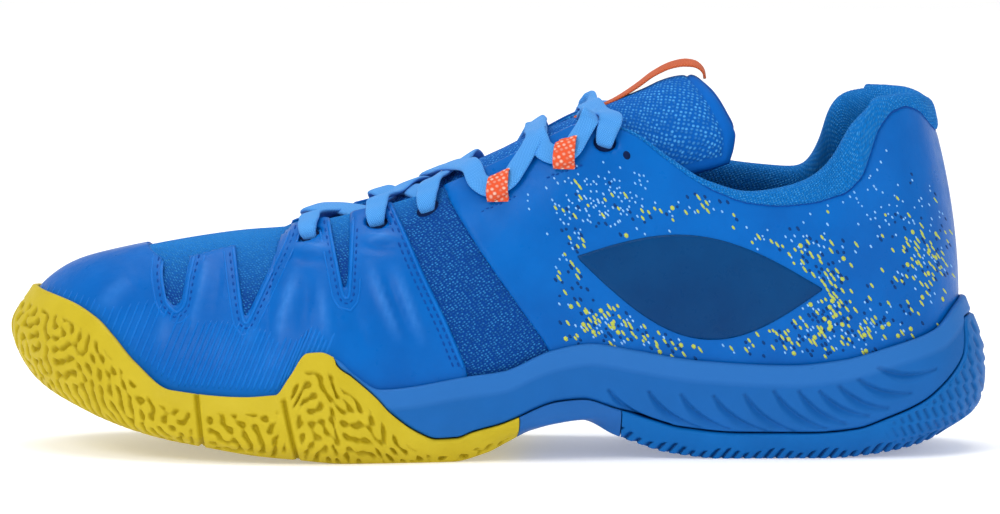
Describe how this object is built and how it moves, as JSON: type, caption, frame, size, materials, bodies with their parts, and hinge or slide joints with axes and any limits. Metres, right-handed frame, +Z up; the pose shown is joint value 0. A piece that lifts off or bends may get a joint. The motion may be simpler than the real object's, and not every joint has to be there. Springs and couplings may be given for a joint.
{
  "type": "court shoe",
  "caption": "Low-cut lace-up shoe for racket sports, left foot: knit upper with film skins, padded tongue and collar, flat lace, foam midsole, wrapped rubber outsoles.",
  "frame": {"origin": "under the middle of the shoe's outer size, on the ground it stands on", "axes": "+X to the toe, +Y to the outer side of the left foot, +Z up"},
  "size_m": [0.3006, 0.1108, 0.1196],
  "materials": {
    "mesh_bootie": "open knit mesh, deep blue with pale dots",
    "forefoot_overlay": "thin satin film, bright blue, fine embossed lines",
    "quarter": "thin satin film, bright blue, printed yellow and pale dashes",
    "side_panel": "smooth navy film",
    "collar_lining": "padded knit, light blue",
    "foam": "soft open foam",
    "tongue": "mesh, blue with light dots",
    "tongue_lining": "knit, light blue",
    "stiffener": "moulded sheet",
    "board": "pressed felt board",
    "insole": "foam with knit face",
    "midsole": "moulded foam, satin blue",
    "outsole_forefoot": "satin yellow rubber with zigzag relief",
    "outsole_heel": "satin blue rubber with lugs",
    "shank_plate": "moulded plastic, violet blue",
    "lace": "flat woven lace, light blue",
    "lace_tip": "clear-coated film sleeve",
    "webbing": "woven orange webbing"
  },
  "bodies": {
    "shoe": {"mesh_bootie": "mesh_bootie", "forefoot_overlay": "forefoot_overlay", "quarter_lateral": "quarter", "quarter_medial": "quarter", "side_panel_lateral": "side_panel", "side_panel_medial": "side_panel", "collar_lining": "collar_lining", "collar_foam": "foam", "toe_puff": "stiffener", "heel_counter": "stiffener", "strobel_board": "board", "midsole": "midsole", "outsole_forefoot": "outsole_forefoot", "outsole_heel": "outsole_heel", "shank_plate": "shank_plate", "lace": "lace", "aglet_lateral": "lace_tip", "aglet_medial": "lace_tip", "lace_loop_lateral_4": "webbing", "lace_loop_lateral_5": "webbing", "lace_loop_medial_4": "webbing", "lace_loop_medial_5": "webbing"},
    "tongue": {"tongue_face": "tongue", "tongue_foam": "foam", "tongue_lining": "tongue_lining", "pull_strap": "webbing"},
    "insole": {"insole": "insole"}
  },
  "joints": [
    {"name": "tongue_hinge", "type": "hinge", "parent": "shoe", "child": "tongue", "pos_m": [0.07225, -0.00158, 0.062], "axis": [0, 1, 0], "range_deg": [-12, 0], "stiffness_Nm_per_rad": 0.05, "springref_deg": 17.19},
    {"name": "insole_lift", "type": "hinge", "parent": "shoe", "child": "insole", "pos_m": [0.13625, -0.00158, 0.032], "axis": [0, 1, 0], "range_deg": [0, 5]}
  ]
}
